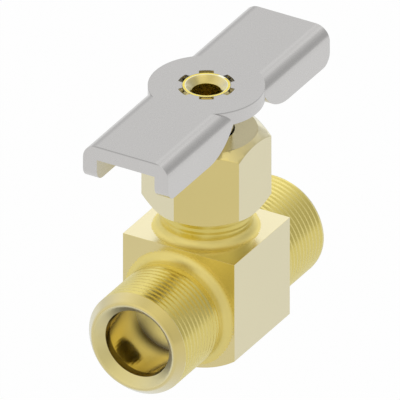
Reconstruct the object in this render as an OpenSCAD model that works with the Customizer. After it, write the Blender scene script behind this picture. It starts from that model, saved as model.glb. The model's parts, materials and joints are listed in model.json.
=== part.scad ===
// In-line quarter-turn shut-off valve with threaded ends and a channel lever.
// The line runs along Y and the stem along Z, and they cross at the origin. The
// lever lies along the line when the valve is open, which is how it is drawn.

/* [Body block] */
// Width of the block, across the line
body_w = 29; // [27:0.5:36]
// Length of the block, along the line
body_l = 25; // [22:0.5:32]
// Height of the line above the lowest point of the block
axis_h = 14.6; // [13.6:0.1:20]
// Height of the block's top face above the line
body_top = 15.25; // [14:0.25:18]
// Height of the curved underside, from its lowest line to the sides
belly_h = 4.75; // [3:0.25:8]

/* [Ports] */
// Diameter over the male thread
port_d = 25.4; // [22:0.1:26.4]
// Length of a male end beyond the block
port_l = 20.8; // [17:0.1:30]
// Length of the plain run-out between the block and the thread
port_runout = 3.05; // [2.2:0.05:4]
// Depth of that run-out below the thread's crest
port_relief = 0.3; // [0.2:0.1:1.5]
// Radius of the fillet between the run-out and the block
port_fillet = 2; // [1:0.1:3.2]
// Length of the conical nose
nose_l = 2.4; // [1.5:0.1:3.5]
// Diameter of the rim at the tip of the nose
nose_d = 21.2; // [18.5:0.1:22]
// Flat width of that rim
nose_rim = 0.3; // [0.1:0.1:0.6]
// Diameter of the tube socket
socket_d = 16.2; // [12:0.1:17.4]
// Depth of the socket from the rim
socket_l = 15.5; // [12:0.1:17]
// Diameter of the flow passage, also through the ball
passage_d = 6.4; // [4:0.1:7]

/* [Neck] */
// Diameter over the neck's thread
neck_d = 21.4; // [20.6:0.1:22.4]
// Height of the neck above the block
neck_h = 16.25; // [14:0.25:17]
// Depth of the plain run-out under the neck's thread
neck_relief = 0.3; // [0.2:0.1:1.2]
// Radius of the fillet between the neck and the block
neck_fillet = 2; // [0.8:0.1:2.6]
// Chamfer at the upper end of the neck's thread
neck_lead = 0.5; // [0.2:0.1:0.9]
// Diameter of the cavity that holds the ball, the seats and the packing
cavity_d = 16.4; // [15.6:0.1:17.2]

/* [Ball and seats] */
// Diameter of the ball
ball_d = 11.2; // [10.4:0.1:12.4]
// Width of the slot that takes the stem's tang
slot_w = 2.4; // [1.6:0.1:3]
// Depth of that slot
slot_h = 1.5; // [1:0.1:1.7]
// Thickness of the seats under the ball
seat_base = 1.6; // [1:0.1:2.4]
// Thickness of the seats over the ball
seat_roof = 1.8; // [1.2:0.1:2.6]
// Thickness of the disc that bears on the seats
follower_t = 1.8; // [1.2:0.1:2.4]

/* [Stem] */
// Diameter of the stem
stem_d = 12.2; // [11.4:0.1:12.8]
// Diameter of the stem's lower neck
stem_neck_d = 6.3; // [5:0.1:7]
// Thickness of the collar that the packing holds down
collar_t = 2.2; // [1.6:0.1:3]
// Diameter of the hollow in the stem's head
hollow_d = 6.6; // [5:0.1:7.6]
// Depth of that hollow from the top
hollow_l = 14; // [8:0.5:18]
// Diameter of the rolled rim on top
rim_d = 10.9; // [10.6:0.1:11.1]
// Flat width of the rolled rim
rim_w = 0.65; // [0.4:0.05:0.8]
// Height over which the rim is rolled outwards
flare_h = 0.5; // [0.3:0.1:0.9]
// Number of spline teeth under the lever
spline_count = 6; // [4:1:8]
// Diameter between the spline teeth
spline_root_d = 10.5; // [10:0.1:10.7]
// Width of a tooth
spline_w = 3.1; // [2:0.1:3.4]
// How far the teeth end below the lever's top
spline_drop = 1.1; // [0.6:0.1:2]

/* [Packing] */
// Thickness of the two bearing washers at the collar
bearing_t = 0.5; // [0.3:0.1:1]
// Height of the flat-footed ring under the chevrons
base_ring_h = 1.4; // [0.8:0.1:2]
// Height of a chevron ring at its edges
chevron_h = 1.3; // [0.8:0.1:1.5]
// How high the chevrons stand in the middle
chevron_rise = 0.8; // [0.4:0.1:1.1]
// Height of the ring on top of the chevrons
cap_ring_h = 2.2; // [1.6:0.1:2.6]
// Gap between the gland's flange and the neck, to take up wear
gland_gap = 0.7; // [0.3:0.1:1.2]
// Thickness of the gland's flange
gland_flange_t = 1.5; // [1:0.1:2]
// Thickness of a disc spring's metal
spring_t = 0.5; // [0.3:0.1:0.7]
// Height of a disc spring's cone
spring_rise = 0.45; // [0.2:0.05:0.7]
// Thickness of the slip washer under the nut
slip_t = 0.5; // [0.3:0.1:0.8]

/* [Stop] */
// Diameter of the stop pin
stop_d = 2; // [1.2:0.1:2.4]
// Depth of the stem's stop groove
stop_depth = 1; // [0.6:0.1:1.6]
// Depth of the pin's centre below the top of the neck
stop_drop = 5; // [4:0.1:8]
// Turn between the open and the closed stop
stop_turn = 90; // [60:5:90]
// How far the gland may still go down past the pin
gland_travel = 1.2; // [0.6:0.1:2]

/* [Bonnet nut] */
// Size across the flats
nut_af = 25.4; // [24.4:0.1:28]
// Height of the nut
nut_h = 19.1; // [17:0.1:22]
// Diameter of the nut's flat end faces
nut_face_d = 23.2; // [22.6:0.1:24]
// Slope of the cone that bevels the corners, from the end face
nut_slope = 34.5; // [20:0.5:45]
// Thickness of the nut's top web
web_t = 4.4; // [3:0.1:6]
// Thickness of the wiper ring in the web
wiper_t = 1.1; // [0.8:0.1:1.6]

/* [Lever] */
// Length of the lever over both wings
lever_l = 72.8; // [50:0.2:110]
// Width of a wing
wing_w = 22.2; // [17:0.1:25]
// Diameter of the hub disc
hub_d = 26.4; // [25.4:0.2:32]
// Thickness of the metal
lever_t = 3.6; // [2:0.1:4.5]
// Height of a wing over its turned-down flanges
wing_h = 9.3; // [7:0.1:11]
// Outer radius of the bend between the top and a flange
bend_r = 3.7; // [2.4:0.1:5]
// Radius of the flange's lower corner at the free end
tip_r = 2.9; // [1:0.1:4]
// Gap between the flanges and the nut
lever_gap = 1.9; // [1.5:0.1:4]
// Diameter over the notches in the hub
notch_d = 13.2; // [13:0.1:14]

/* [Clearances] */
// Radial running clearance of the stem and the ball
run_c = 0.05; // [0.02:0.01:0.08]
// Clearance between parts that are put together and don't turn
seat_c = 0.05; // [0.02:0.01:0.1]
// Free gap round parts that turn past others without touching
free_c = 0.3; // [0.2:0.05:0.35]

/* [Hidden] */
$fn = 96;
cut = 1; // how far a cutting shape runs past the face that it opens

// Colours
brass = [0.84, 0.76, 0.50];
polished = [0.82, 0.83, 0.84];
white_plastic = [0.93, 0.93, 0.90];
filled_plastic = [0.55, 0.42, 0.26];
spring_steel = [0.55, 0.56, 0.58];
black_rubber = [0.10, 0.10, 0.11];
grey_metal = [0.73, 0.72, 0.71];

// Radii
ball_r = ball_d / 2;
cavity_r = cavity_d / 2;
stem_r = stem_d / 2;
port_r = port_d / 2;
neck_r = neck_d / 2;
socket_r = socket_d / 2;
passage_r = passage_d / 2;
stem_neck_r = stem_neck_d / 2;
fill_r = cavity_r - seat_c; // what fills the cavity without turning
bore_r = stem_r + run_c; // what the stem runs in
relief_r = port_r - port_relief;
neck_relief_r = neck_r - neck_relief;

// Along the line, from the stem's axis
face_y = body_l / 2;
rim_y = face_y + port_l;
cone_y = rim_y - nose_l;
socket_y = rim_y - socket_l;
corner_room = min(body_w / 2, body_top, axis_h) - relief_r - seat_c;
port_fillet_r = min(port_fillet, corner_room);
thread_y = face_y + max(port_runout, port_fillet_r + seat_c);

// Heights above the line, from the cavity's floor up
floor_z = -ball_r - seat_base;
seat_z = ball_r + seat_roof;
follower_z = seat_z + follower_t;
lower_bearing_z = follower_z + bearing_t;
collar_z = lower_bearing_z + seat_c;
collar_top_z = collar_z + collar_t;
upper_bearing_z = collar_top_z + seat_c;
base_ring_z = upper_bearing_z + bearing_t;
chevron_z = base_ring_z + base_ring_h + seat_c;
chevron_step = chevron_h + seat_c;
cap_ring_z = chevron_z + 3 * chevron_step;
packing_z = cap_ring_z + cap_ring_h;

// Heights above the line, from the neck up
neck_room = min(body_w, body_l) / 2 - neck_relief_r - seat_c;
neck_fillet_r = min(neck_fillet, neck_room);
neck_thread_z = body_top + neck_fillet_r;
neck_z = body_top + neck_h;
stop_z = neck_z - stop_drop;
gland_flange_z = neck_z + gland_gap;
spring_z = gland_flange_z + gland_flange_t;
spring_h = spring_t + spring_rise;
slip_z = spring_z + 2 * spring_h;
web_z = slip_z + slip_t;
nut_top_z = web_z + web_t;
nut_z = nut_top_z - nut_h;
wiper_z = (web_z + nut_top_z) / 2;
lever_z = nut_top_z + lever_gap; // underside of the flanges
lever_top_z = lever_z + wing_h;
hub_z = lever_top_z - lever_t;

// Ball slot and tang
slot_z = ball_r - slot_h;
tang_z = slot_z + seat_c;
tang_top_z = ball_r + free_c;
tang_w = slot_w - 2 * seat_c;

// Nut
nut_bore_r = neck_r + seat_c;
nut_fill_r = nut_bore_r - free_c; // what lies loose inside the nut
nut_corner_r = nut_af / 2 / cos(30);
nut_bevel_h = (nut_corner_r - nut_face_d / 2) * tan(nut_slope);

// Lever
wing_y = lever_l / 2;
hub_r = hub_d / 2;
flange_y = sqrt(hub_r * hub_r - wing_w * wing_w / 4); // where a wing's side leaves the hub
inner_r = wing_h - lever_t; // radius at the flange's inner end
hole_r = spline_root_d / 2 + seat_c;
notch_w = spline_w + 4 * seat_c;
rim_r = rim_d / 2;

// A ring from radius a to radius b, between two heights.
module ring(a, b, z0, z1) {
    difference() {
        translate([0, 0, z0]) cylinder(r = b, h = z1 - z0);
        translate([0, 0, z0 - cut]) cylinder(r = a, h = z1 - z0 + 2 * cut);
    }
}

// A closed outline of radii and heights, turned about the stem.
module turned(points) {
    rotate_extrude() polygon(points);
}

// A profile of radii and distances, turned about the line, on one side.
module turned_along_line(side) {
    rotate([-90 * side, 0, 0]) rotate_extrude() children();
}

// The material that a concave fillet adds where a shaft of radius r leaves a
// flat face at height 0.
module fillet_section(r, fillet) {
    difference() {
        translate([r - cut, -cut]) square([fillet + cut, fillet + cut]);
        translate([r + fillet, fillet]) circle(r = fillet);
        translate([r + fillet / 2, fillet]) square([fillet, cut]);
    }
}

// Outline of the block's front: flat sides and top over a curved belly.
module block_section() {
    half = body_w / 2;
    belly_r = (half * half + belly_h * belly_h) / (2 * belly_h);
    intersection() {
        translate([-half, -axis_h]) square([body_w, axis_h + body_top]);
        union() {
            translate([0, belly_r - axis_h]) circle(r = belly_r, $fn = 180);
            translate([-half, belly_h - axis_h])
                square([body_w, axis_h + body_top - belly_h]);
        }
    }
}

module male_end(side) {
    turned_along_line(side) {
        translate([0, face_y]) fillet_section(relief_r, port_fillet_r);
        translate([0, face_y - cut]) square([relief_r, thread_y - face_y + 2 * cut]);
        polygon([
            [0, thread_y],
            [relief_r, thread_y],
            [port_r, thread_y + port_relief],
            [port_r, cone_y],
            [nose_d / 2 + nose_rim / 2, rim_y],
            [0, rim_y]
        ]);
    }
}

module socket(side) {
    mouth_r = nose_d / 2 - nose_rim / 2;
    turned_along_line(side)
        polygon([
            [0, socket_y],
            [socket_r, socket_y],
            [socket_r, rim_y - (mouth_r - socket_r)],
            [mouth_r, rim_y],
            [mouth_r, rim_y + cut],
            [0, rim_y + cut]
        ]);
}

module neck() {
    translate([0, 0, body_top]) rotate_extrude() fillet_section(neck_relief_r, neck_fillet_r);
    turned([
        [0, body_top - cut],
        [neck_relief_r, body_top - cut],
        [neck_relief_r, neck_thread_z],
        [neck_r, neck_thread_z + neck_relief],
        [neck_r, neck_z - neck_lead],
        [neck_r - neck_lead, neck_z],
        [0, neck_z]
    ]);
}

// The stop pin's own place: a radial hole on the left of the stem.
module stop_hole(r, from, to) {
    translate([-to, 0, stop_z]) rotate([0, 90, 0]) cylinder(r = r, h = to - from);
}

module valve_body() {
    color(brass) difference() {
        union() {
            translate([0, face_y, 0]) rotate([90, 0, 0])
                linear_extrude(body_l) block_section();
            for (side = [-1, 1]) male_end(side);
            neck();
        }
        translate([0, 0, floor_z]) cylinder(r = cavity_r, h = neck_z - floor_z + cut);
        for (side = [-1, 1]) socket(side);
        translate([0, rim_y, 0]) rotate([90, 0, 0]) cylinder(r = passage_r, h = 2 * rim_y);
        stop_hole(stop_d / 2 + seat_c / 2, cavity_r - cut, neck_r + cut);
    }
}

module ball() {
    color(polished) difference() {
        sphere(r = ball_r);
        translate([0, ball_r, 0]) rotate([90, 0, 0]) cylinder(r = passage_r, h = ball_d);
        translate([-ball_r, -slot_w / 2, slot_z]) cube([ball_d, slot_w, slot_h + cut]);
    }
}

// One half of the liner that fills the cavity round the ball.
module seat(side) {
    gap = seat_c / 2;
    color(white_plastic) difference() {
        intersection() {
            translate([0, 0, floor_z]) cylinder(r = fill_r, h = seat_z - floor_z);
            translate([-cavity_r, side > 0 ? gap : -cavity_r, floor_z])
                cube([cavity_d, cavity_r - gap, seat_z - floor_z]);
        }
        sphere(r = ball_r + run_c);
        translate([0, cavity_r, 0]) rotate([90, 0, 0]) cylinder(r = passage_r, h = cavity_d);
        cylinder(r = stem_neck_r + free_c, h = seat_z + cut);
    }
}

module seat_follower() {
    color(brass) ring(stem_neck_r + free_c, fill_r, seat_z, follower_z);
}

module lower_bearing_washer() {
    color(filled_plastic)
        ring(stem_neck_r + free_c, fill_r, follower_z, lower_bearing_z);
}

// The groove that the stop pin runs in, with ends shaped by the pin.
module stop_groove() {
    r = stop_d / 2 + seat_c;
    groove_r = stem_r - stop_depth;
    translate([0, 0, stop_z]) rotate([0, 0, 180]) rotate_extrude(angle = stop_turn)
        translate([groove_r, -r]) square([stop_depth + cut, 2 * r]);
    for (turn = [0, stop_turn]) rotate([0, 0, turn])
        stop_hole(r, groove_r, stem_r + cut);
}

module spline_teeth(root_r, tip_r, w, z0, z1) {
    intersection() {
        ring(root_r - cut, tip_r, z0, z1);
        for (i = [0 : spline_count - 1])
            rotate([0, 0, i * 360 / spline_count])
                translate([0, -w / 2, z0 - cut]) cube([tip_r + cut, w, z1 - z0 + 2 * cut]);
    }
}

module stem() {
    root_r = spline_root_d / 2;
    countersink_r = rim_r - rim_w;
    hollow_r = hollow_d / 2;
    color(brass) difference() {
        union() {
            intersection() {
                cylinder(r = stem_neck_r, h = tang_top_z + cut);
                translate([-stem_neck_r, -tang_w / 2, tang_z])
                    cube([stem_neck_d, tang_w, tang_top_z - tang_z + cut]);
            }
            turned([
                [0, tang_top_z],
                [stem_neck_r, tang_top_z],
                [stem_neck_r, collar_z],
                [cavity_r - free_c, collar_z],
                [cavity_r - free_c, collar_top_z],
                [stem_r, collar_top_z],
                [stem_r, hub_z],
                [root_r, hub_z],
                [root_r, lever_top_z - flare_h],
                [rim_r, lever_top_z],
                [0, lever_top_z]
            ]);
            spline_teeth(root_r, stem_r, spline_w, hub_z - seat_c, lever_top_z - spline_drop);
        }
        turned([
            [0, lever_top_z - hollow_l],
            [hollow_r, lever_top_z - hollow_l],
            [hollow_r, lever_top_z - (countersink_r - hollow_r)],
            [countersink_r, lever_top_z],
            [countersink_r, lever_top_z + cut],
            [0, lever_top_z + cut]
        ]);
        stop_groove();
    }
}

module upper_bearing_washer() {
    color(filled_plastic) ring(bore_r, fill_r, upper_bearing_z, base_ring_z);
}

middle_r = (bore_r + fill_r) / 2;

module packing_base_ring() {
    top = base_ring_z + base_ring_h;
    color(filled_plastic) turned([
        [bore_r, base_ring_z],
        [fill_r, base_ring_z],
        [fill_r, top],
        [middle_r, top + chevron_rise],
        [bore_r, top]
    ]);
}

module chevron(place) {
    low = chevron_z + place * chevron_step;
    high = low + chevron_h;
    color(white_plastic) turned([
        [bore_r, low],
        [middle_r, low + chevron_rise],
        [fill_r, low],
        [fill_r, high],
        [middle_r, high + chevron_rise],
        [bore_r, high]
    ]);
}

module packing_cap_ring() {
    color(filled_plastic) turned([
        [bore_r, cap_ring_z],
        [middle_r, cap_ring_z + chevron_rise],
        [fill_r, cap_ring_z],
        [fill_r, packing_z],
        [bore_r, packing_z]
    ]);
}

// Sleeve that presses the packing, with a slot that lets it pass the stop pin.
module gland() {
    slot_r = stop_d / 2 + seat_c;
    color(brass) difference() {
        union() {
            ring(bore_r, fill_r, packing_z, spring_z);
            ring(bore_r, nut_fill_r, gland_flange_z, spring_z);
        }
        for (rise = [0, gland_travel])
            translate([0, 0, rise]) stop_hole(slot_r, stem_r - cut, cavity_r + cut);
        translate([-cavity_r - cut, -slot_r, stop_z])
            cube([cavity_r - stem_r + 2 * cut, 2 * slot_r, gland_travel]);
    }
}

module stop_pin() {
    color(spring_steel)
        stop_hole(stop_d / 2, stem_r - stop_depth + 2 * seat_c, neck_relief_r);
}

// A conical spring washer. The lower one stands on its rim, and the upper one is
// turned over, so that the two meet at the hole.
module disc_spring(place) {
    a = stem_r + free_c;
    b = nut_fill_r;
    z = spring_z + place * spring_h;
    rise = place == 0 ? [spring_rise, 0] : [0, spring_rise];
    color(spring_steel) turned([
        [a, z + rise[0]],
        [b, z + rise[1]],
        [b, z + rise[1] + spring_t],
        [a, z + rise[0] + spring_t]
    ]);
}

module slip_washer() {
    color(filled_plastic) ring(stem_r + free_c, nut_fill_r, slip_z, web_z);
}

module wiper_section(r) {
    translate([bore_r + wiper_t / 2, wiper_z]) circle(r = r);
}

module wiper_ring() {
    color(black_rubber) rotate_extrude() wiper_section(wiper_t / 2);
}

module bonnet_nut() {
    groove_h = wiper_t + 2 * seat_c;
    face_r = nut_face_d / 2;
    color(brass) difference() {
        intersection() {
            translate([0, 0, nut_z]) rotate([0, 0, 30]) cylinder(r = nut_corner_r, h = nut_h, $fn = 6);
            turned([
                [0, nut_z],
                [face_r, nut_z],
                [nut_corner_r, nut_z + nut_bevel_h],
                [nut_corner_r, nut_top_z - nut_bevel_h],
                [face_r, nut_top_z],
                [0, nut_top_z]
            ]);
        }
        turned([
            [0, nut_z - cut],
            [nut_bore_r + neck_lead + cut, nut_z - cut],
            [nut_bore_r, nut_z + neck_lead],
            [nut_bore_r, web_z],
            [stem_r + free_c, web_z],
            [stem_r + free_c, nut_top_z + cut],
            [0, nut_top_z + cut]
        ]);
        ring(stem_r, bore_r + wiper_t + seat_c, wiper_z - groove_h / 2, wiper_z + groove_h / 2);
    }
}

// Cross-section of a wing: a flat top with two flanges turned down.
module wing_section() {
    inside_w = wing_w - 2 * lever_t;
    difference() {
        union() {
            translate([-wing_w / 2, lever_z]) square([wing_w, wing_h - bend_r]);
            translate([bend_r - wing_w / 2, lever_z]) square([wing_w - 2 * bend_r, wing_h]);
            for (side = [-1, 1])
                translate([side * (wing_w / 2 - bend_r), lever_top_z - bend_r]) circle(r = bend_r);
        }
        translate([-inside_w / 2, lever_z - cut]) square([inside_w, hub_z - lever_z + cut]);
    }
}

// Side view of a wing: the flange is rounded at the hub and at the free end.
module wing_profile() {
    inner_y = flange_y + inner_r;
    translate([0, hub_z]) square([wing_y, lever_t]);
    translate([inner_y, lever_z]) square([wing_y - tip_r - inner_y, wing_h]);
    translate([inner_y, lever_z + tip_r]) square([wing_y - inner_y, wing_h - tip_r]);
    translate([wing_y - tip_r, lever_z + tip_r]) circle(r = tip_r);
    intersection() {
        translate([inner_y, lever_z + inner_r]) circle(r = inner_r);
        translate([flange_y, lever_z]) square([inner_r, inner_r]);
    }
}

module wing(side) {
    rotate([0, 0, side > 0 ? 0 : 180]) intersection() {
        translate([0, wing_y, 0]) rotate([90, 0, 0]) linear_extrude(wing_y) wing_section();
        translate([-wing_w / 2, 0, 0]) rotate([90, 0, 90]) linear_extrude(wing_w) wing_profile();
    }
}

module lever() {
    color(grey_metal) difference() {
        union() {
            translate([0, 0, hub_z]) cylinder(r = hub_r, h = lever_t);
            for (side = [-1, 1]) wing(side);
        }
        translate([0, 0, hub_z - cut]) cylinder(r = hole_r, h = lever_t + 2 * cut);
        turned([
            [0, lever_top_z - flare_h],
            [hole_r, lever_top_z - flare_h],
            [rim_r + seat_c, lever_top_z],
            [rim_r + seat_c, lever_top_z + cut],
            [0, lever_top_z + cut]
        ]);
        spline_teeth(hole_r, notch_d / 2, notch_w, hub_z - cut, lever_top_z + cut);
    }
}

valve_body();
ball();
seat(-1);  // seat_front
seat(1);  // seat_rear
seat_follower();
lower_bearing_washer();
stem();
upper_bearing_washer();
packing_base_ring();
chevron(0);  // packing_chevron_lower
chevron(1);  // packing_chevron_middle
chevron(2);  // packing_chevron_upper
packing_cap_ring();
gland();
stop_pin();
disc_spring(0);  // disc_spring_lower
disc_spring(1);  // disc_spring_upper
slip_washer();
wiper_ring();
bonnet_nut();
lever();
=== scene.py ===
"""The look of the shut-off valve: satin brass with cut threads under a grey channel lever."""

import json
import math

import bmesh
import bpy
from mathutils import Matrix, Vector


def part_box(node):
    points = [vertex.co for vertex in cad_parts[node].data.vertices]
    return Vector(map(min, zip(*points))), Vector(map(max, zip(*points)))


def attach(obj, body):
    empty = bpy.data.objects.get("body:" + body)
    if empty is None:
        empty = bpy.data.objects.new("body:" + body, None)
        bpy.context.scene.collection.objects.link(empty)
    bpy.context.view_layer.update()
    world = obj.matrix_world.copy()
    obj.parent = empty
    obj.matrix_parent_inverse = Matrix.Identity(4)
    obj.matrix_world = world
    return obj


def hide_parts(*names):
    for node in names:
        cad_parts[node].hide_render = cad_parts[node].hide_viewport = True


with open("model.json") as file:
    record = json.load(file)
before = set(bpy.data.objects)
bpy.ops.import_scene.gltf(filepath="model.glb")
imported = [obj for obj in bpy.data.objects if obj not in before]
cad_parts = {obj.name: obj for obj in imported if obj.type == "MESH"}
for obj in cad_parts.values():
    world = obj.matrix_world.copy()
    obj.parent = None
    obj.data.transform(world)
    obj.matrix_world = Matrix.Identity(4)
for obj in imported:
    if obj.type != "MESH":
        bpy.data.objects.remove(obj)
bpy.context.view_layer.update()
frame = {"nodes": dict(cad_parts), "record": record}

MM = 0.001
NODES = frame["nodes"]
MOUNTS = {mount["name"]: mount for mount in frame["record"]["mounts"]}


def mount_size(name, size):
    """One of a mount's sizes, in metres."""
    return MOUNTS[name]["dims"][size] * MM


def mount_start(name):
    """Where a mount that lies along the line begins, seen from the origin."""
    return MOUNTS[name]["pos_m"][1] - mount_size(name, "length_mm") / 2


# All sizes are in metres. Those of the CAD that the frame doesn't give are written here again.

# Where the block ends, along the line and along the stem
BLOCK_Y = 12.5 * MM
BLOCK_Z = 15.25 * MM

# Threaded ends: the thread lies between a relief beside the block, which slopes up to it at
# 45 degrees, and a cone down to the rim
RELIEF_DEPTH = 0.3 * MM
PORT_CREST_R = mount_size("port_rear", "r_mm")
PORT_RELIEF_R = PORT_CREST_R - RELIEF_DEPTH
PORT_THREAD_Y = mount_start("port_rear") - RELIEF_DEPTH
PORT_RIM_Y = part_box("valve_body")[1].y
NOSE_Y = 30.9 * MM
RIM_R = 10.75 * MM

# Sockets: a funnel from the rim, then the bore down to its flat bottom
FUNNEL_R = 10.45 * MM
FUNNEL_END_Y = 30.95 * MM
SOCKET_R = mount_size("socket_rear", "r_mm")
SOCKET_END_Y = mount_start("socket_rear")
# The socket's wall lies within this radius, its tapered mouth too
WALL_R = SOCKET_R + 0.2 * MM

# Threaded neck
NECK_CREST_R = 10.7 * MM
NECK_RELIEF_R = NECK_CREST_R - RELIEF_DEPTH
NECK_THREAD_Z = 17.25 * MM
NECK_TOP_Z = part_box("valve_body")[1].z

# Lever: the underside of its hub, and the flanges that start where a wing leaves the hub
LEVER_TOP_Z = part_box("lever")[1].z
HUB_Z = LEVER_TOP_Z - 3.6 * MM
HUB_R = 13.2 * MM
WING_HALF_W = 11.1 * MM
FLANGE_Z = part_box("lever")[0].z
FLANGE_Y = math.sqrt(HUB_R ** 2 - WING_HALF_W ** 2)

# Stem: the hollow in its head, and how far under the lever's top the rolled head begins, where its painted
# highlight starts
HOLLOW_R = 3.3 * MM
HOLLOW_END_Z = 37.7 * MM
HEAD_DEPTH = 0.1 * MM

# What is cut here and isn't in the CAD. First the turns of the threads
PITCH = 25.4 / 18 * MM
THREAD_DEPTH = 0.15 * MM
FLANK_ANGLE = math.radians(73)
ROOT_W = 0.2 * MM
GROOVE_OVERRUN = 0.015 * MM
GROOVE_STEPS = 96
RUN_OUT = 0.2 * MM
# The crests rise in a low cone from the relief to these places
PORT_FADE_Y = 17.6 * MM
NECK_FADE_Z = 18.9 * MM
# The rim's rounding and the taper in the socket's mouth
RIM_ROUND = 0.8 * MM
RIM_STEPS = 16
MOUTH_TAPER = math.radians(5)
MOUTH_TAPER_Y = 29.2 * MM
MOUTH_OVERRUN = 0.6 * MM
# The arc that each of the lever's flanges starts with
FLANGE_ROUND = 13 * MM
FLANGE_STEPS = 24
# How far a cutter reaches past what it cuts, and runs on past the end of a low slope
BESIDE = 1 * MM
RUN_ON = 0.1 * MM
TURNED_STEPS = 192
CLEAR = 0.01 * MM

# Rounding of the edges. A line of edges with too little room for its share of the width stays sharp
BODY_EDGE = 0.1 * MM
NUT_EDGE = 0.1 * MM
STEM_EDGE = 0.07 * MM
LEVER_EDGE = 0.08 * MM
EDGE_SEGMENTS = 2
HARD_ANGLE = math.radians(28)
MOST_OF_ROOM = 0.45
LEAST_SHARE = 0.15
# Points closer than this are one: first across the seams of the CAD's mesh, then in its flats' outlines
SEAM = 0.0001 * MM
MERGE = 0.01 * MM
FLAT_ANGLE = math.radians(0.05)

# Camera: a parallel view from 30 degrees to the right of the line and 30 above it
VIEW_TURN = math.radians(30)
VIEW_RISE = math.radians(30)
VIEW_WIDTH = 90 * MM
VIEW_CENTRE_RIGHT = -1.44 * MM
VIEW_CENTRE_UP = 18.855 * MM
VIEW_DISTANCE = 0.6
VIEW_END = 20

# Floor, and how bright it is to each kind of ray: its strength, and its share in what the ray sees
FLOOR_Z = -0.16
FLOOR_SIDE = 8.0
FLOOR_COLOUR = (0.8, 0.8, 0.8)
FLOOR_ROUGHNESS = 0.9
FLOOR_GLOW = [("Is Glossy Ray", 0.79, 1.0), ("Is Camera Ray", 1.0, 0.97)]

# Studio: an even room, brighter or darker round some directions. Each has a sharpness and a strength.
# Another program fitted the room's light and the panels to how bright the brass and the lever are in
# the photo. The light is its result rounded, and the panels are as it printed them, apart from the
# seventh and the eighth, whose sharpness and strength were changed afterwards
ROOM_LIGHT = 0.83
LEAST_LIGHT = 0.05
PANELS = [
    ((-0.72, 0.12, 0.68), 8.8, 0.26),
    ((0.69, 0.69, 0.21), 4.1, -0.43),
    ((-0.05, -0.90, 0.43), 8.1, 0.28),
    ((-0.09, -0.47, 0.88), 22.5, -0.14),
    ((0.66, 0.24, 0.71), 48.0, -0.16),
    ((0.26, -0.09, 0.96), 19.2, 0.27),
    ((0.53, -0.85, 0.02), 3.0, -0.26),
    ((0.14, 0.94, -0.33), 6.0, 0.28),
    ((-0.96, 0.17, 0.22), 3.9, -0.17),
    ((0.08, 0.96, 0.27), 80.0, -0.24),
    ((-0.21, 0.80, 0.56), 19.5, 0.45),
]


# Nodes


def wire(tree, source, target):
    tree.links.new(source, target)


def math_node(tree, operation, a, b=None):
    """A Math node whose inputs are numbers or other nodes' outputs. Gives its output."""
    node = tree.nodes.new("ShaderNodeMath")
    node.operation = operation
    for i, value in enumerate([a, b]):
        if isinstance(value, (int, float)):
            node.inputs[i].default_value = value
        elif value is not None:
            wire(tree, value, node.inputs[i])
    return node.outputs[0]


def socket_id(tree, name):
    """The identifier of a node tree's named input."""
    return next(s.identifier for s in tree.interface.items_tree if s.name == name)


# Meshes


def link(name, mesh):
    obj = bpy.data.objects.new(name, mesh)
    bpy.context.scene.collection.objects.link(obj)
    return obj


def evaluated(obj):
    """What an object's modifiers make of its mesh, as a plain mesh."""
    depsgraph = bpy.context.evaluated_depsgraph_get()
    return bpy.data.meshes.new_from_object(obj.evaluated_get(depsgraph))


def taken_from(obj):
    """The evaluated mesh of an object that only served to make it, and is removed."""
    mesh = evaluated(obj)
    bpy.data.objects.remove(obj)
    return mesh


def mesh_from(name, bm):
    mesh = bpy.data.meshes.new(name)
    bm.to_mesh(mesh)
    bm.free()
    return mesh


def turned(profile, place):
    """A closed ring whose section is a list of (radius, height), turned about local Z and then placed."""
    bm = bmesh.new()
    rows = []
    for k in range(TURNED_STEPS):
        angle = 2 * math.pi * k / TURNED_STEPS
        rows.append([bm.verts.new((r * math.cos(angle), r * math.sin(angle), h)) for r, h in profile])
    for row, following in zip(rows, rows[1:] + rows[:1]):
        for i in range(len(profile)):
            bm.faces.new((row[i - 1], row[i], following[i], following[i - 1]))
    bmesh.ops.recalc_face_normals(bm, faces=bm.faces)
    mesh = mesh_from("turned_ring", bm)
    mesh.transform(place)
    return mesh


def prism(outline, half_width):
    """A closed solid whose section across X is a list of (y, z)."""
    bm = bmesh.new()
    ends = [[bm.verts.new((x, y, z)) for y, z in outline] for x in [-half_width, half_width]]
    for end in ends:
        bm.faces.new(end)
    for i in range(len(outline)):
        bm.faces.new((ends[0][i - 1], ends[0][i], ends[1][i], ends[1][i - 1]))
    bmesh.ops.recalc_face_normals(bm, faces=bm.faces)
    return mesh_from("prism", bm)


def joined(meshes):
    """Several meshes as one."""
    bm = bmesh.new()
    for mesh in meshes:
        bm.from_mesh(mesh)
        bpy.data.meshes.remove(mesh)
    bmesh.ops.recalc_face_normals(bm, faces=bm.faces)
    return mesh_from("joined", bm)


def cut_away(blank, tool):
    """A closed mesh less another."""
    body, cutter = link("blank", blank), link("tool", tool)
    cut = body.modifiers.new("cut", "BOOLEAN")
    cut.operation = "DIFFERENCE"
    cut.solver = "MANIFOLD"
    cut.object = cutter
    mesh = taken_from(body)
    bpy.data.objects.remove(cutter)
    return mesh


def closed_skin(source):
    """A mesh as one closed skin, with each of its flats in one face."""
    bm = bmesh.new()
    bm.from_mesh(source)
    bmesh.ops.remove_doubles(bm, verts=bm.verts, dist=SEAM)
    bmesh.ops.dissolve_limit(bm, angle_limit=FLAT_ANGLE, verts=bm.verts, edges=bm.edges)
    bmesh.ops.remove_doubles(bm, verts=bm.verts, dist=MERGE)
    return mesh_from("skin", bm)


# Rounded edges


def room_beside(edge, face):
    """How far a face reaches from one of its edges."""
    start = edge.verts[0].co
    way = (edge.verts[1].co - start).normalized()
    return max((v.co - start - way * (v.co - start).dot(way)).length for v in face.verts)


def is_hard(edge):
    return edge.is_manifold and edge.is_convex and edge.calc_face_angle(0) > HARD_ANGLE


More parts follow.
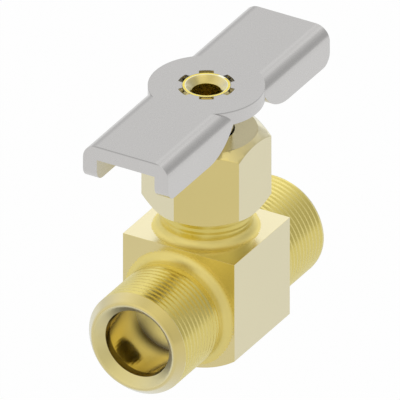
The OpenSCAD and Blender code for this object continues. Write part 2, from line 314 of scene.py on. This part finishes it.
def next_in_line(edge, vert):
    """The one other hard edge at an edge's end, if the line runs on there without a corner."""
    meeting = list(filter(is_hard, vert.link_edges))
    if len(meeting) != 2:
        return None
    following = meeting[0] if meeting[1] is edge else meeting[1]
    bend = (vert.co - edge.other_vert(vert).co).angle(following.other_vert(vert).co - vert.co)
    return following if bend < HARD_ANGLE else None


def hard_lines(bm):
    """The outer hard edges, gathered into lines without corners."""
    taken = set()
    lines = []
    for first in filter(is_hard, bm.edges):
        if first in taken:
            continue
        taken.add(first)
        # The line grows while it is followed
        line = [first]
        for edge in line:
            for vert in edge.verts:
                following = next_in_line(edge, vert)
                if following and following not in taken:
                    taken.add(following)
                    line.append(following)
        lines.append(line)
    return lines


def with_rounded_edges(source, width):
    """A mesh as one closed skin, its hard edges rounded as far as there is room."""
    mesh = closed_skin(source)
    bm = bmesh.new()
    bm.from_mesh(mesh)
    weight = bm.edges.layers.float.new("bevel_weight_edge")
    for line in hard_lines(bm):
        room = min(room_beside(edge, face) for edge in line for face in edge.link_faces)
        share = min(1.0, MOST_OF_ROOM * room / width)
        for edge in line:
            edge[weight] = share if share > LEAST_SHARE else 0.0
    bm.to_mesh(mesh)
    bm.free()
    obj = link("blank", mesh)
    bevel = obj.modifiers.new("edges", "BEVEL")
    bevel.width = width
    bevel.segments = EDGE_SEGMENTS
    bevel.limit_method = "WEIGHT"
    bevel.use_clamp_overlap = False
    bevel.loop_slide = False
    return taken_from(obj)


def smooth_but_for_hard_edges(mesh):
    bm = bmesh.new()
    bm.from_mesh(mesh)
    for face in bm.faces:
        face.smooth = True
    for edge in bm.edges:
        edge.smooth = edge.is_manifold and edge.calc_face_angle(math.pi) < HARD_ANGLE
    bm.to_mesh(mesh)
    bm.free()


def finished(name, mesh, finishes, finish_at=None):
    """The object for a finished mesh. finish_at gives the material for a face's middle."""
    smooth_but_for_hard_edges(mesh)
    mesh.materials.clear()
    for finish in finishes:
        mesh.materials.append(finish)
    for polygon in mesh.polygons:
        polygon.material_index = finishes.index(finish_at(polygon.center)) if finish_at else 0
    obj = link(name, mesh)
    keep_flats_flat = obj.modifiers.new("normals", "WEIGHTED_NORMAL")
    keep_flats_flat.keep_sharp = True
    obj.data = evaluated(obj)
    obj.modifiers.clear()
    return obj


# What is cut away


def groove_tree():
    """A Geometry Nodes tree that makes the solid which a threading tool takes out of a cylinder."""
    tree = bpy.data.node_groups.new("thread_groove", "GeometryNodeTree")
    for name in ["Crest Radius", "Depth", "Pitch", "Length", "Root Width", "Overrun"]:
        tree.interface.new_socket(name, in_out="INPUT", socket_type="NodeSocketFloat")
    tree.interface.new_socket("Steps", in_out="INPUT", socket_type="NodeSocketInt")
    tree.interface.new_socket("Metal", in_out="INPUT", socket_type="NodeSocketMaterial")
    tree.interface.new_socket("Geometry", in_out="OUTPUT", socket_type="NodeSocketGeometry")
    given = tree.nodes.new("NodeGroupInput").outputs

    helix = tree.nodes.new("GeometryNodeCurveSpiral")
    wire(tree, given["Steps"], helix.inputs["Resolution"])
    wire(tree, math_node(tree, "DIVIDE", given["Length"], given["Pitch"]), helix.inputs["Rotations"])
    wire(tree, given["Crest Radius"], helix.inputs["Start Radius"])
    wire(tree, given["Crest Radius"], helix.inputs["End Radius"])
    wire(tree, given["Length"], helix.inputs["Height"])
    upright = tree.nodes.new("GeometryNodeSetCurveNormal")
    upright.mode = "Z_UP"
    wire(tree, helix.outputs["Curve"], upright.inputs["Curve"])

    # Section of the groove, whose x points at the axis: from a little outside the crest to the root
    section = tree.nodes.new("GeometryNodeCurvePrimitiveQuadrilateral")
    section.mode = "POINTS"
    mouth_x = math_node(tree, "MULTIPLY", given["Overrun"], -1.0)
    height = math_node(tree, "ADD", given["Depth"], given["Overrun"])
    flank = math_node(tree, "MULTIPLY", height, math.tan(FLANK_ANGLE))
    half_root = math_node(tree, "MULTIPLY", given["Root Width"], 0.5)
    half_mouth = math_node(tree, "ADD", half_root, flank)
    corners = [(given["Depth"], half_root, 1), (mouth_x, half_mouth, 1)]
    corners += [(mouth_x, half_mouth, -1), (given["Depth"], half_root, -1)]
    for i, (x, y, side) in enumerate(corners):
        corner = tree.nodes.new("ShaderNodeCombineXYZ")
        wire(tree, x, corner.inputs["X"])
        wire(tree, math_node(tree, "MULTIPLY", y, side), corner.inputs["Y"])
        wire(tree, corner.outputs[0], section.inputs[f"Point {i + 1}"])

    sweep = tree.nodes.new("GeometryNodeCurveToMesh")
    sweep.inputs["Fill Caps"].default_value = True
    wire(tree, upright.outputs["Curve"], sweep.inputs["Curve"])
    wire(tree, section.outputs["Curve"], sweep.inputs["Profile Curve"])
    realize = tree.nodes.new("GeometryNodeRealizeInstances")
    paint = tree.nodes.new("GeometryNodeSetMaterial")
    wire(tree, sweep.outputs["Mesh"], realize.inputs["Geometry"])
    wire(tree, realize.outputs["Geometry"], paint.inputs["Geometry"])
    wire(tree, given["Metal"], paint.inputs["Material"])
    wire(tree, paint.outputs["Geometry"], tree.nodes.new("NodeGroupOutput").inputs["Geometry"])
    return tree


def groove(tree, finish, crest_r, start, end, place):
    """One thread's groove along local Z, with its run-outs past start and end, and then placed."""
    obj = link("groove", bpy.data.meshes.new("groove"))
    cutter = obj.modifiers.new("thread", "NODES")
    cutter.node_group = tree
    sizes = {
        "Crest Radius": crest_r,
        "Depth": THREAD_DEPTH,
        "Pitch": PITCH,
        "Length": end - start + 2 * RUN_OUT,
        "Root Width": ROOT_W,
        "Overrun": GROOVE_OVERRUN,
        "Steps": GROOVE_STEPS,
        "Metal": finish,
    }
    for name, value in sizes.items():
        cutter[socket_id(tree, name)] = value
    obj.update_tag()
    bpy.context.view_layer.update()
    mesh = taken_from(obj)
    mesh.transform(place @ Matrix.Translation((0, 0, start - RUN_OUT)))
    return mesh


def fading_waste(relief_r, crest_r, start, end, place):
    """What comes off the crests beside the relief, in a low cone, so that the turns fade out there."""
    slope = (crest_r - relief_r) / (end - start)
    low = (relief_r - RUN_ON * slope, start - RUN_ON)
    high = (crest_r + RUN_ON * slope, end + RUN_ON)
    outside = crest_r + BESIDE
    return turned([low, high, (outside, high[1]), (outside, low[1])], place)


def rim_waste(place):
    """What comes off the rim, down to an arc that touches both the nose and the funnel."""
    nose_turn = math.atan2(PORT_CREST_R - RIM_R, PORT_RIM_Y - NOSE_Y)
    funnel_turn = math.pi - math.atan2(FUNNEL_R - SOCKET_R, PORT_RIM_Y - FUNNEL_END_Y)
    nose_out = Vector((math.cos(nose_turn), math.sin(nose_turn)))
    funnel_out = Vector((math.cos(funnel_turn), math.sin(funnel_turn)))
    # The middle of the arc lies its radius below both lines
    below = Vector((
        nose_out.dot(Vector((PORT_CREST_R, NOSE_Y))) - RIM_ROUND,
        funnel_out.dot(Vector((SOCKET_R, FUNNEL_END_Y))) - RIM_ROUND,
    ))
    middle = Matrix((nose_out, funnel_out)).inverted() @ below
    profile = [middle + (RIM_ROUND + CLEAR) * nose_out]
    for k in range(1, RIM_STEPS):
        turn = nose_turn + (funnel_turn - nose_turn) * k / RIM_STEPS
        profile.append(middle + RIM_ROUND * Vector((math.cos(turn), math.sin(turn))))
    profile.append(middle + (RIM_ROUND + CLEAR) * funnel_out)
    above = PORT_RIM_Y + BESIDE
    profile += [Vector((profile[-1].x, above)), Vector((profile[0].x, above))]
    return turned(profile, place)


def mouth_waste(place):
    """What comes out of the socket's mouth, so that it narrows inwards."""
    start, end = MOUTH_TAPER_Y - RUN_ON, FUNNEL_END_Y + MOUTH_OVERRUN
    inside = SOCKET_R - BESIDE
    outside = SOCKET_R + (end - MOUTH_TAPER_Y) * math.tan(MOUTH_TAPER)
    tip = SOCKET_R - RUN_ON * math.tan(MOUTH_TAPER)
    return turned([(inside, start), (tip, start), (outside, end), (inside, end)], place)


def flange_waste():
    """What comes off the lever's flanges beside the hub, under a long arc from the hub's underside."""
    height = HUB_Z - FLANGE_Z
    reach = math.sqrt(height * (2 * FLANGE_ROUND - height))
    turn = math.atan2(FLANGE_ROUND - height, reach)
    outline = [
        (FLANGE_Y - BESIDE, HUB_Z),
        (FLANGE_Y - BESIDE, FLANGE_Z - BESIDE),
        (FLANGE_Y + reach, FLANGE_Z - BESIDE),
    ]
    for k in range(FLANGE_STEPS + 1):
        angle = math.pi / 2 + (turn - math.pi / 2) * k / FLANGE_STEPS
        outline.append((
            FLANGE_Y + reach - FLANGE_ROUND * math.cos(angle),
            FLANGE_Z + FLANGE_ROUND * (1 - math.sin(angle)),
        ))
    halves = [[(side * y, z) for y, z in outline] for side in [-1, 1]]
    return joined([prism(half, WING_HALF_W + BESIDE) for half in halves])


# Materials

# Grains to the metre
CLOUD_GRAIN = 45
TURNED_GRAIN = 5200
MACHINED_GRAIN = 2500
PRESSED_GRAIN = 1800
PLASTIC_CLOUD_GRAIN = 220
PLASTIC_SKIN_GRAIN = 6000
# The middle range of a noise, which is most of it
NOISE_LOW = 0.3
NOISE_HIGH = 0.7

# How deep the marks of making are
MACHINED_DEPTH = 0.0006 * MM
PRESSED_DEPTH = 0.0002 * MM
PLASTIC_DEPTH = 0.002 * MM
# The share of its colour that a surface has where it is cloudiest
METAL_CLOUD = 0.965
PLASTIC_CLOUD = 0.88
# How far the roughness goes up and down
METAL_UNEVEN = 0.03
PLASTIC_UNEVEN = 0.05
# How fast metal pales towards a glancing view
PALING = 1.2

# Painted shade: the lever's top is darker, and gets so within this depth under it
TOP_SHADE = 0.33
TOP_SHADE_START = 0.5 * MM
TOP_SHADE_END = 0.1 * MM

# Painted shade in a socket: from its bottom, less on its upper side, and in its mouth
PAINTED_SHADE = 0.95
PAINTED_SHADE_LENGTH = 4.2 * MM
PAINTED_SHADE_LOW_Z = -6.5 * MM
PAINTED_SHADE_HIGH_Z = 1 * MM
PAINTED_SHADE_ABOVE = 0.3
MOUTH_PAINTED_SHADE = 0.8
MOUTH_PAINTED_SHADE_RISE = 0.4 * MM


def start_material(name):
    material = bpy.data.materials.new(name)
    material.use_nodes = True
    tree = material.node_tree
    return material, tree, tree.nodes["Principled BSDF"]


def object_position(tree):
    return tree.nodes.new("ShaderNodeTexCoord").outputs["Object"]


def along(tree, position, axis):
    """One coordinate of a position."""
    split = tree.nodes.new("ShaderNodeSeparateXYZ")
    wire(tree, position, split.inputs[0])
    return split.outputs[axis]


def noise(tree, vector, grain, detail, dimensions="3D"):
    """Noise of a given number of grains to the metre."""
    node = tree.nodes.new("ShaderNodeTexNoise")
    node.noise_dimensions = dimensions
    node.inputs["Scale"].default_value = grain
    node.inputs["Detail"].default_value = detail
    wire(tree, vector, node.inputs["W" if dimensions == "1D" else "Vector"])
    return node.outputs[0]


def map_range(tree, value, start, end, low, high, interpolation="LINEAR"):
    """Goes from low at start to high at end, and stays there beyond them."""
    node = tree.nodes.new("ShaderNodeMapRange")
    node.interpolation_type = interpolation
    for socket, number in zip(["From Min", "From Max", "To Min", "To Max"], [start, end, low, high]):
        node.inputs[socket].default_value = number
    wire(tree, value, node.inputs["Value"])
    return node.outputs["Result"]


def spread(tree, value, low, high):
    """Maps a noise's middle range to low to high."""
    return map_range(tree, value, NOISE_LOW, NOISE_HIGH, low, high)


def ramp(tree, value, start, end, low, high):
    """Goes smoothly from low at start to high at end."""
    return map_range(tree, value, start, end, low, high, "SMOOTHSTEP")


def mix(tree, factor, a, b):
    """A colour between a and b. Each is a colour or another node's output."""
    node = tree.nodes.new("ShaderNodeMix")
    node.data_type = "RGBA"
    colours = [s for s in node.inputs if s.type == "RGBA"]
    for socket, value in zip(colours, [a, b]):
        if isinstance(value, tuple):
            socket.default_value = (*value, 1)
        else:
            wire(tree, value, socket)
    wire(tree, factor, node.inputs[0])
    return next(s for s in node.outputs if s.type == "RGBA")


def bump(tree, height, depth, shader):
    node = tree.nodes.new("ShaderNodeBump")
    node.inputs["Strength"].default_value = 1.0
    node.inputs["Distance"].default_value = depth
    wire(tree, height, node.inputs["Height"])
    wire(tree, node.outputs["Normal"], shader.inputs["Normal"])


def painted_top_shade(tree, position):
    """Painted shade: the lever's flat top is darker than its bends and flanges."""
    start, end = LEVER_TOP_Z - TOP_SHADE_START, LEVER_TOP_Z - TOP_SHADE_END
    return ramp(tree, along(tree, position, "Z"), start, end, 0.0, TOP_SHADE)


def painted_bore_shade(tree, position):
    """Painted shade on the bored wall: darker towards the socket's bottom, most where it is low, and in
    its mouth.
    """
    depth = math_node(tree, "ABSOLUTE", along(tree, position, "Y"))
    bottom = ramp(tree, depth, SOCKET_END_Y, SOCKET_END_Y + PAINTED_SHADE_LENGTH, PAINTED_SHADE, 0.0)
    low = ramp(tree, along(tree, position, "Z"), PAINTED_SHADE_LOW_Z, PAINTED_SHADE_HIGH_Z, 1.0, PAINTED_SHADE_ABOVE)
    mouth = ramp(tree, depth, MOUTH_TAPER_Y, MOUTH_TAPER_Y + MOUTH_PAINTED_SHADE_RISE, 0.0, MOUTH_PAINTED_SHADE)
    return math_node(tree, "ADD", math_node(tree, "MULTIPLY", bottom, low), mouth)


def metal(name, colour, edge_colour, roughness, axis=None, grain=MACHINED_GRAIN, mark_depth=MACHINED_DEPTH,
          shade=None, shade_colour=None):
    """Machined metal that pales at a glancing view. axis is the one that it was turned about, if any:
    its tool marks differ along that alone. shade(tree, position) is how far it goes to shade_colour."""
    material, tree, shader = start_material(name)
    position = object_position(tree)
    cloud = noise(tree, position, CLOUD_GRAIN, detail=2.0)
    fine = noise(tree, position, grain, detail=4.0)
    marks = fine
    if axis:
        marks = noise(tree, along(tree, position, axis), TURNED_GRAIN, detail=3.0, dimensions="1D")
    dark = tuple(METAL_CLOUD * c for c in colour)
    tone = mix(tree, spread(tree, cloud, 0, 1), dark, colour)
    weight = tree.nodes.new("ShaderNodeLayerWeight")
    tone = mix(tree, math_node(tree, "POWER", weight.outputs["Facing"], PALING), tone, edge_colour)
    if shade:
        tone = mix(tree, shade(tree, position), tone, shade_colour)
    wire(tree, tone, shader.inputs["Base Color"])
    halves = [math_node(tree, "MULTIPLY", part, 0.5) for part in [marks, fine]]
    uneven = math_node(tree, "ADD", *halves)
    rough = spread(tree, uneven, roughness - METAL_UNEVEN, roughness + METAL_UNEVEN)
    wire(tree, rough, shader.inputs["Roughness"])
    shader.inputs["Metallic"].default_value = 1.0
    bump(tree, uneven, mark_depth, shader)
    return material


def plastic(name, colour, roughness):
    """Moulded or turned plastic, with a faint cloud in its colour and a fine skin."""
    material, tree, shader = start_material(name)
    position = object_position(tree)
    cloud = noise(tree, position, PLASTIC_CLOUD_GRAIN, detail=3.0)
    skin = noise(tree, position, PLASTIC_SKIN_GRAIN, detail=2.0)
    dark = tuple(PLASTIC_CLOUD * c for c in colour)
    wire(tree, mix(tree, spread(tree, cloud, 0, 1), dark, colour), shader.inputs["Base Color"])
    rough = spread(tree, skin, roughness - PLASTIC_UNEVEN, roughness + PLASTIC_UNEVEN)
    wire(tree, rough, shader.inputs["Roughness"])
    bump(tree, skin, PLASTIC_DEPTH, shader)
    return material


BRASS = (0.79, 0.64, 0.215)
BRASS_EDGE = (0.97, 0.985, 0.88)
CUT_BRASS = (0.83, 0.68, 0.18)
CUT_BRASS_EDGE = (0.93, 0.83, 0.34)
# Brighter, deeper gold than the block's brass: painted light, for the glow reflected into the fillets and
# reliefs
FILLET_PAINTED_LIGHT = (0.95, 0.79, 0.27)
MOUTH = (0.86, 0.74, 0.32)
# Near white: painted light, so that the shaded bottoms of the sockets look bright
SOCKET_BOTTOM_PAINTED_LIGHT = (1.0, 1.0, 0.9)
BORED = (0.86, 0.68, 0.19)
BORED_EDGE = (0.93, 0.79, 0.33)
# The colour of the painted shade in the sockets
BORE_PAINTED_SHADE = (0.05, 0.028, 0.005)
# Pale cream: a painted highlight on the stem's rolled head
HEAD = (0.97, 0.94, 0.70)
DRILLED = (0.85, 0.70, 0.13)
GREY = (0.73, 0.715, 0.70)
GREY_EDGE = (0.77, 0.76, 0.75)
BLACK = (0.0, 0.0, 0.0)
PLATE = (0.72, 0.73, 0.74)
PLATE_EDGE = (0.9, 0.9, 0.9)
STEEL = (0.42, 0.43, 0.45)
STEEL_EDGE = (0.7, 0.7, 0.7)
WHITE_PLASTIC = (0.86, 0.86, 0.82)
BROWN_PLASTIC = (0.36, 0.24, 0.12)
BLACK_RUBBER = (0.012, 0.012, 0.014)

block_brass = metal("brass_milled", BRASS, BRASS_EDGE, roughness=0.18)
nose_brass = metal("brass_turned_about_the_line", BRASS, BRASS_EDGE, roughness=0.22, axis="Y")
line_thread_brass = metal(
    "brass_threaded_about_the_line", CUT_BRASS, CUT_BRASS_EDGE, roughness=0.26, axis="Y",
)
stem_thread_brass = metal(
    "brass_threaded_about_the_stem", CUT_BRASS, CUT_BRASS_EDGE, roughness=0.3, axis="Z",
)
# The fillets and reliefs beside the block are a brighter gold, as painted light
fillet_lit_brass = metal("brass_beside_the_block", FILLET_PAINTED_LIGHT, CUT_BRASS_EDGE, roughness=0.45)
mouth_brass = metal("brass_at_the_mouth", MOUTH, BRASS_EDGE, roughness=0.4, axis="Y")
stem_brass = metal("brass_turned_about_the_stem", BRASS, BRASS_EDGE, roughness=0.18, axis="Z")
# The rolled head is paled to cream, as a painted highlight
head_highlight_brass = metal("brass_rolled_over", HEAD, BRASS_EDGE, roughness=0.25, axis="Z")
hollow_brass = metal("brass_drilled", DRILLED, DRILLED, roughness=0.26, axis="Z")
# The sockets' bottoms are paled to near white, as painted light
bottom_painted_light_brass = metal("brass_at_the_sockets_bottom", SOCKET_BOTTOM_PAINTED_LIGHT, SOCKET_BOTTOM_PAINTED_LIGHT, roughness=0.35)
# The bored wall gets a painted shade towards the socket's bottom and in its mouth
bored_brass = metal(
    "brass_bored", BORED, BORED_EDGE, roughness=0.14, axis="Y",
    shade=painted_bore_shade, shade_colour=BORE_PAINTED_SHADE,
)
# The lever's top gets a painted shade, darker than its bends and flanges
lever_grey = metal(
    "grey_pressed_metal", GREY, GREY_EDGE, roughness=0.25, grain=PRESSED_GRAIN, mark_depth=PRESSED_DEPTH,
    shade=painted_top_shade, shade_colour=BLACK,
)
plate = metal("polished_plate", PLATE, PLATE_EDGE, roughness=0.08)
steel = metal("spring_steel", STEEL, STEEL_EDGE, roughness=0.25, axis="Z")
white_plastic = plastic("white_seat_plastic", WHITE_PLASTIC, roughness=0.45)
brown_plastic = plastic("filled_bearing_plastic", BROWN_PLASTIC, roughness=0.5)
black_rubber = plastic("wiper_rubber", BLACK_RUBBER, roughness=0.6)


# Pieces

# From a thread's or a socket's own frame, whose Z runs outwards, to the valve's
PORTS = [Matrix.Rotation(math.radians(turn), 4, "X") for turn in [90, -90]]
NECK = Matrix.Identity(4)


def body_finish(middle):
    """The valve body's finish at a place."""
    out, y = math.hypot(middle.x, middle.z), abs(middle.y)
    if out < WALL_R and y > SOCKET_END_Y - CLEAR:
        return bottom_painted_light_brass if y < SOCKET_END_Y + CLEAR else bored_brass
    if y > NOSE_Y:
        return mouth_brass if out < FUNNEL_R else nose_brass
    if y > BLOCK_Y + CLEAR:
        return line_thread_brass if y > PORT_THREAD_Y else fillet_lit_brass
    if middle.z > BLOCK_Z + CLEAR:
        return stem_thread_brass if middle.z > NECK_THREAD_Z else fillet_lit_brass
    return block_brass


def valve_body():
    """The body with its threads cut and its rims and mouths turned."""
    tree = groove_tree()
    grooves = [
        groove(tree, line_thread_brass, PORT_CREST_R, PORT_THREAD_Y, PORT_RIM_Y, port)
        for port in PORTS
    ]
    grooves.append(groove(tree, stem_thread_brass, NECK_CREST_R, NECK_THREAD_Z, NECK_TOP_Z, NECK))
    fading = [
        fading_waste(PORT_RELIEF_R, PORT_CREST_R, PORT_THREAD_Y, PORT_FADE_Y, port)
        for port in PORTS
    ]
    fading.append(fading_waste(NECK_RELIEF_R, NECK_CREST_R, NECK_THREAD_Z, NECK_FADE_Z, NECK))

    mesh = with_rounded_edges(NODES["valve_body"].data, BODY_EDGE)
    rims, mouths = [rim_waste(port) for port in PORTS], [mouth_waste(port) for port in PORTS]
    for waste in [rims, mouths, fading, grooves]:
        mesh = cut_away(mesh, joined(waste))
    finishes = [
        block_brass, line_thread_brass, stem_thread_brass, bottom_painted_light_brass, bored_brass, nose_brass,
        mouth_brass, fillet_lit_brass,
    ]
    obj = finished("threaded_body", mesh, finishes, body_finish)
    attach(obj, "housing")
    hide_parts("valve_body")


def stem_finish(middle):
    """The stem's finish at a place."""
    if math.hypot(middle.x, middle.y) < HOLLOW_R + CLEAR and middle.z > HOLLOW_END_Z - CLEAR:
        return hollow_brass
    return head_highlight_brass if middle.z > LEVER_TOP_Z - HEAD_DEPTH else stem_brass


def softened(name, node, body, width, finishes, finish_at=None, waste=None):
    """A CAD node with its edges rounded and its own finishes. waste is cut away before that."""
    blank = NODES[node].data
    if waste:
        blank = cut_away(closed_skin(blank), waste)
    obj = finished(name, with_rounded_edges(blank, width), finishes, finish_at)
    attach(obj, body)
    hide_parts(node)


valve_body()
softened("hexagon_nut", "bonnet_nut", "housing", NUT_EDGE, [stem_brass])
softened(
    "splined_stem", "stem", "stem_and_lever", STEM_EDGE,
    [stem_brass, hollow_brass, head_highlight_brass], stem_finish,
)
softened(
    "channel_lever", "lever", "stem_and_lever", LEVER_EDGE,
    [lever_grey], waste=flange_waste(),
)

# The pieces inside stay as the CAD has them
INNER = {
    "ball": plate,
    "seat_front": white_plastic,
    "seat_rear": white_plastic,
    "seat_follower": stem_brass,
    "lower_bearing_washer": brown_plastic,
    "upper_bearing_washer": brown_plastic,
    "packing_base_ring": brown_plastic,
    "packing_chevron_lower": white_plastic,
    "packing_chevron_middle": white_plastic,
    "packing_chevron_upper": white_plastic,
    "packing_cap_ring": brown_plastic,
    "gland": stem_brass,
    "stop_pin": steel,
    "disc_spring_lower": steel,
    "disc_spring_upper": steel,
    "slip_washer": brown_plastic,
    "wiper_ring": black_rubber,
}
for node, material in INNER.items():
    NODES[node].data.materials.clear()
    NODES[node].data.materials.append(material)


# Floor, light and camera


def floor():
    """A pale floor that keeps the shadow, white to the camera and nearly so in reflections."""
    mesh = bpy.data.meshes.new("floor")
    half = FLOOR_SIDE / 2
    corners = [(x, y, FLOOR_Z) for x, y in [(-half, -half), (half, -half), (half, half), (-half, half)]]
    mesh.from_pydata(corners, [], [(0, 1, 2, 3)])
    material, tree, shader = start_material("pale_floor")
    shader.inputs["Base Color"].default_value = (*FLOOR_COLOUR, 1)
    shader.inputs["Roughness"].default_value = FLOOR_ROUGHNESS
    rays = tree.nodes.new("ShaderNodeLightPath")
    surface = shader.outputs[0]
    for ray, strength, share in FLOOR_GLOW:
        glow = tree.nodes.new("ShaderNodeEmission")
        glow.inputs["Strength"].default_value = strength
        blend = tree.nodes.new("ShaderNodeMixShader")
        wire(tree, math_node(tree, "MULTIPLY", rays.outputs[ray], share), blend.inputs[0])
        wire(tree, surface, blend.inputs[1])
        wire(tree, glow.outputs[0], blend.inputs[2])
        surface = blend.outputs[0]
    wire(tree, surface, tree.nodes["Material Output"].inputs["Surface"])
    mesh.materials.append(material)
    obj = link("floor", mesh)


def lobe(tree, direction, centre, sharpness, strength):
    """Light from round one direction: strength at its centre, and less the further from it."""
    dot = tree.nodes.new("ShaderNodeVectorMath")
    dot.operation = "DOT_PRODUCT"
    wire(tree, direction, dot.inputs[0])
    dot.inputs[1].default_value = Vector(centre).normalized()
    near = math_node(tree, "MAXIMUM", dot.outputs["Value"], 0.0)
    return math_node(tree, "MULTIPLY", math_node(tree, "POWER", near, sharpness), strength)


def studio():
    """A soft studio with bright and dark panels, white where the camera looks at it."""
    world = bpy.data.worlds.new("studio")
    world.use_nodes = True
    bpy.context.scene.world = world
    tree = world.node_tree
    direction = tree.nodes.new("ShaderNodeTexCoord").outputs["Generated"]
    total = ROOM_LIGHT
    for centre, sharpness, strength in PANELS:
        total = math_node(tree, "ADD", total, lobe(tree, direction, centre, sharpness, strength))
    level = math_node(tree, "MAXIMUM", total, LEAST_LIGHT)
    seen = tree.nodes.new("ShaderNodeLightPath").outputs["Is Camera Ray"]
    white = tree.nodes.new("ShaderNodeMix")
    wire(tree, seen, white.inputs[0])
    wire(tree, level, white.inputs[2])
    white.inputs[3].default_value = 1.0
    background = tree.nodes["Background"]
    wire(tree, white.outputs[0], background.inputs["Strength"])
    background.inputs["Color"].default_value = (1, 1, 1, 1)


def camera():
    """The photo's parallel view."""
    right = Vector((math.cos(VIEW_TURN), math.sin(VIEW_TURN), 0))
    back = Vector((
        math.cos(VIEW_RISE) * math.sin(VIEW_TURN),
        -math.cos(VIEW_RISE) * math.cos(VIEW_TURN),
        math.sin(VIEW_RISE),
    ))
    up = back.cross(right)
    data = bpy.data.cameras.new("camera")
    data.type = "ORTHO"
    data.ortho_scale = VIEW_WIDTH
    data.clip_end = VIEW_END
    obj = link("camera", data)
    turn = Matrix((right, up, back)).transposed().to_4x4()
    centre = right * VIEW_CENTRE_RIGHT + up * VIEW_CENTRE_UP
    obj.matrix_world = Matrix.Translation(centre + back * VIEW_DISTANCE) @ turn
    bpy.context.scene.camera = obj


floor()
studio()
camera()
bpy.context.scene.view_settings.view_transform = "Standard"
